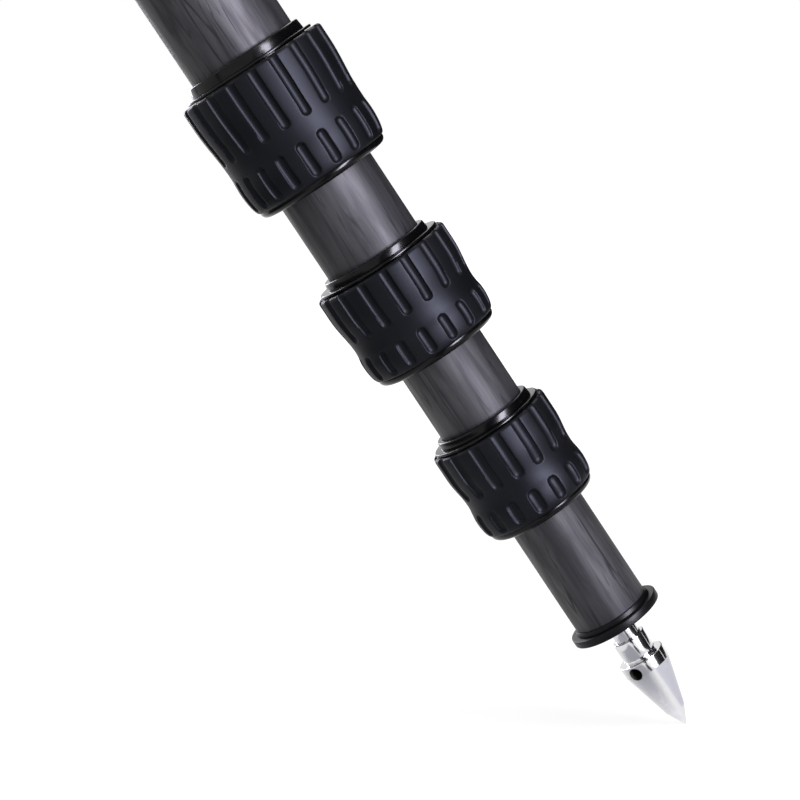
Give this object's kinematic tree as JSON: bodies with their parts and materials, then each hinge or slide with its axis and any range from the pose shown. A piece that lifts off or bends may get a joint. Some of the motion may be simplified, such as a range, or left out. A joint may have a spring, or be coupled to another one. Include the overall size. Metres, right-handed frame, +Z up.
{
  "type": "camera tripod",
  "caption": "Carbon-fibre camera tripod with telescopic legs, grooved rubber twist locks, steel spikes and a cast head with a threaded stud.",
  "frame": {"origin": "foot of the head screw, on the top plate's upper face", "axes": "+Z up along the head screw, +X towards leg A"},
  "size_m": [0.5326, 0.6082, 0.7043],
  "materials": {
    "carbon": "satin unidirectional carbon fibre with fine darker streaks along the tube",
    "anodised_black": "gloss black anodised",
    "rubber": "smooth matt moulded rubber",
    "polished_steel": "polished, lathe turned",
    "bolt_steel": "satin",
    "cast_black": "fine textured black paint",
    "tab_grey": "satin grey anodised",
    "nylon": "plain nylon",
    "vial": "clear puck with green fluid"
  },
  "bodies": {
    "head": {"apex_casting": "cast_black", "top_plate": "anodised_black", "level_vial": "vial", "hinge_bolts": "bolt_steel", "hinge_washers": "nylon"},
    "head_screw": {"head_screw": "polished_steel", "hook_clip": "anodised_black"},
    "hook": {"bag_hook": "bolt_steel"},
    "clamp_knob": {"clamp_knob": "anodised_black"},
    "leg_a": {"leg_a_shoulder": "cast_black", "leg_a_tube_1": "carbon", "leg_a_lock_1_sleeve": "anodised_black"},
    "leg_a_tab": {"leg_a_angle_tab": "tab_grey"},
    "leg_a_section_2": {"leg_a_tube_2": "carbon", "leg_a_lock_2_sleeve": "anodised_black"},
    "leg_a_section_3": {"leg_a_tube_3": "carbon", "leg_a_lock_3_sleeve": "anodised_black"},
    "leg_a_section_4": {"leg_a_tube_4": "carbon", "leg_a_foot_plug": "anodised_black", "leg_a_spike": "polished_steel"},
    "leg_a_twist_1": {"leg_a_lock_1_nut": "anodised_black", "leg_a_lock_1_grip": "rubber"},
    "leg_a_twist_2": {"leg_a_lock_2_nut": "anodised_black", "leg_a_lock_2_grip": "rubber"},
    "leg_a_twist_3": {"leg_a_lock_3_nut": "anodised_black", "leg_a_lock_3_grip": "rubber"},
    "leg_b": {"leg_b_shoulder": "cast_black", "leg_b_tube_1": "carbon", "leg_b_lock_1_sleeve": "anodised_black"},
    "leg_b_tab": {"leg_b_angle_tab": "tab_grey"},
    "leg_b_section_2": {"leg_b_tube_2": "carbon", "leg_b_lock_2_sleeve": "anodised_black"},
    "leg_b_section_3": {"leg_b_tube_3": "carbon", "leg_b_lock_3_sleeve": "anodised_black"},
    "leg_b_section_4": {"leg_b_tube_4": "carbon", "leg_b_foot_plug": "anodised_black", "leg_b_spike": "polished_steel"},
    "leg_b_twist_1": {"leg_b_lock_1_nut": "anodised_black", "leg_b_lock_1_grip": "rubber"},
    "leg_b_twist_2": {"leg_b_lock_2_nut": "anodised_black", "leg_b_lock_2_grip": "rubber"},
    "leg_b_twist_3": {"leg_b_lock_3_nut": "anodised_black", "leg_b_lock_3_grip": "rubber"},
    "leg_c": {"leg_c_shoulder": "cast_black", "leg_c_tube_1": "carbon", "leg_c_lock_1_sleeve": "anodised_black"},
    "leg_c_tab": {"leg_c_angle_tab": "tab_grey"},
    "leg_c_section_2": {"leg_c_tube_2": "carbon", "leg_c_lock_2_sleeve": "anodised_black"},
    "leg_c_section_3": {"leg_c_tube_3": "carbon", "leg_c_lock_3_sleeve": "anodised_black"},
    "leg_c_section_4": {"leg_c_tube_4": "carbon", "leg_c_foot_plug": "anodised_black", "leg_c_spike": "polished_steel"},
    "leg_c_twist_1": {"leg_c_lock_1_nut": "anodised_black", "leg_c_lock_1_grip": "rubber"},
    "leg_c_twist_2": {"leg_c_lock_2_nut": "anodised_black", "leg_c_lock_2_grip": "rubber"},
    "leg_c_twist_3": {"leg_c_lock_3_nut": "anodised_black", "leg_c_lock_3_grip": "rubber"}
  },
  "joints": [
    {"name": "leg_a_swing", "type": "hinge", "parent": "head", "child": "leg_a", "pos_m": [0.044, 0, -0.036], "axis": [0, -1, 0], "range_deg": [-25, 55]},
    {"name": "leg_a_tab_slide", "type": "slide", "parent": "leg_a", "child": "leg_a_tab", "axis": [0.4226, 0, -0.9063], "range_m": [-0.008, 0]},
    {"name": "leg_a_slide_2", "type": "slide", "parent": "leg_a", "child": "leg_a_section_2", "axis": [0.4226, 0, -0.9063], "range_m": [-0.0286, 0.34]},
    {"name": "leg_a_slide_3", "type": "slide", "parent": "leg_a_section_2", "child": "leg_a_section_3", "axis": [0.4226, 0, -0.9063], "range_m": [-0.026, 0.37]},
    {"name": "leg_a_slide_4", "type": "slide", "parent": "leg_a_section_3", "child": "leg_a_section_4", "axis": [0.4226, 0, -0.9063], "range_m": [-0.0426, 0.39]},
    {"name": "leg_a_twist_1", "type": "hinge", "parent": "leg_a", "child": "leg_a_twist_1", "pos_m": [0.24208, 0, -0.46079], "axis": [0.4226, 0, -0.9063], "range_deg": [0, 120]},
    {"name": "leg_a_twist_2", "type": "hinge", "parent": "leg_a_section_2", "child": "leg_a_twist_2", "pos_m": [0.27357, 0, -0.52831], "axis": [0.4226, 0, -0.9063], "range_deg": [0, 120]},
    {"name": "leg_a_twist_3", "type": "hinge", "parent": "leg_a_section_3", "child": "leg_a_twist_3", "pos_m": [0.3023, 0, -0.58994], "axis": [0.4226, 0, -0.9063], "range_deg": [0, 120]},
    {"name": "leg_b_swing", "type": "hinge", "parent": "head", "child": "leg_b", "pos_m": [-0.022, 0.03811, -0.036], "axis": [0.866, 0.5, 0], "range_deg": [-25, 55]},
    {"name": "leg_b_tab_slide", "type": "slide", "parent": "leg_b", "child": "leg_b_tab", "axis": [-0.2113, 0.366, -0.9063], "range_m": [-0.008, 0]},
    {"name": "leg_b_slide_2", "type": "slide", "parent": "leg_b", "child": "leg_b_section_2", "axis": [-0.2113, 0.366, -0.9063], "range_m": [-0.0286, 0.34]},
    {"name": "leg_b_slide_3", "type": "slide", "parent": "leg_b_section_2", "child": "leg_b_section_3", "axis": [-0.2113, 0.366, -0.9063], "range_m": [-0.026, 0.37]},
    {"name": "leg_b_slide_4", "type": "slide", "parent": "leg_b_section_3", "child": "leg_b_section_4", "axis": [-0.2113, 0.366, -0.9063], "range_m": [-0.0426, 0.39]},
    {"name": "leg_b_twist_1", "type": "hinge", "parent": "leg_b", "child": "leg_b_twist_1", "pos_m": [-0.12104, 0.20965, -0.46079], "axis": [-0.2113, 0.366, -0.9063], "range_deg": [0, 120]},
    {"name": "leg_b_twist_2", "type": "hinge", "parent": "leg_b_section_2", "child": "leg_b_twist_2", "pos_m": [-0.13678, 0.23692, -0.52831], "axis": [-0.2113, 0.366, -0.9063], "range_deg": [0, 120]},
    {"name": "leg_b_twist_3", "type": "hinge", "parent": "leg_b_section_3", "child": "leg_b_twist_3", "pos_m": [-0.15115, 0.2618, -0.58994], "axis": [-0.2113, 0.366, -0.9063], "range_deg": [0, 120]},
    {"name": "leg_c_swing", "type": "hinge", "parent": "head", "child": "leg_c", "pos_m": [-0.022, -0.03811, -0.036], "axis": [-0.866, 0.5, 0], "range_deg": [-25, 55]},
    {"name": "leg_c_tab_slide", "type": "slide", "parent": "leg_c", "child": "leg_c_tab", "axis": [-0.2113, -0.366, -0.9063], "range_m": [-0.008, 0]},
    {"name": "leg_c_slide_2", "type": "slide", "parent": "leg_c", "child": "leg_c_section_2", "axis": [-0.2113, -0.366, -0.9063], "range_m": [-0.0286, 0.34]},
    {"name": "leg_c_slide_3", "type": "slide", "parent": "leg_c_section_2", "child": "leg_c_section_3", "axis": [-0.2113, -0.366, -0.9063], "range_m": [-0.026, 0.37]},
    {"name": "leg_c_slide_4", "type": "slide", "parent": "leg_c_section_3", "child": "leg_c_section_4", "axis": [-0.2113, -0.366, -0.9063], "range_m": [-0.0426, 0.39]},
    {"name": "leg_c_twist_1", "type": "hinge", "parent": "leg_c", "child": "leg_c_twist_1", "pos_m": [-0.12104, -0.20965, -0.46079], "axis": [-0.2113, -0.366, -0.9063], "range_deg": [0, 120]},
    {"name": "leg_c_twist_2", "type": "hinge", "parent": "leg_c_section_2", "child": "leg_c_twist_2", "pos_m": [-0.13678, -0.23692, -0.52831], "axis": [-0.2113, -0.366, -0.9063], "range_deg": [0, 120]},
    {"name": "leg_c_twist_3", "type": "hinge", "parent": "leg_c_section_3", "child": "leg_c_twist_3", "pos_m": [-0.15115, -0.2618, -0.58994], "axis": [-0.2113, -0.366, -0.9063], "range_deg": [0, 120]},
    {"name": "head_screw_turn", "type": "hinge", "parent": "head", "child": "head_screw", "pos_m": [0, 0, -0.02], "axis": [0, 0, 1], "continuous": true},
    {"name": "hook_swivel", "type": "hinge", "parent": "head_screw", "child": "hook", "pos_m": [0, 0, -0.065], "axis": [0, 0, 1], "continuous": true},
    {"name": "clamp_knob_turn", "type": "hinge", "parent": "head", "child": "clamp_knob", "pos_m": [0.031, 0.05369, -0.0115], "axis": [0.5, 0.866, 0], "range_deg": [0, 180]}
  ]
}
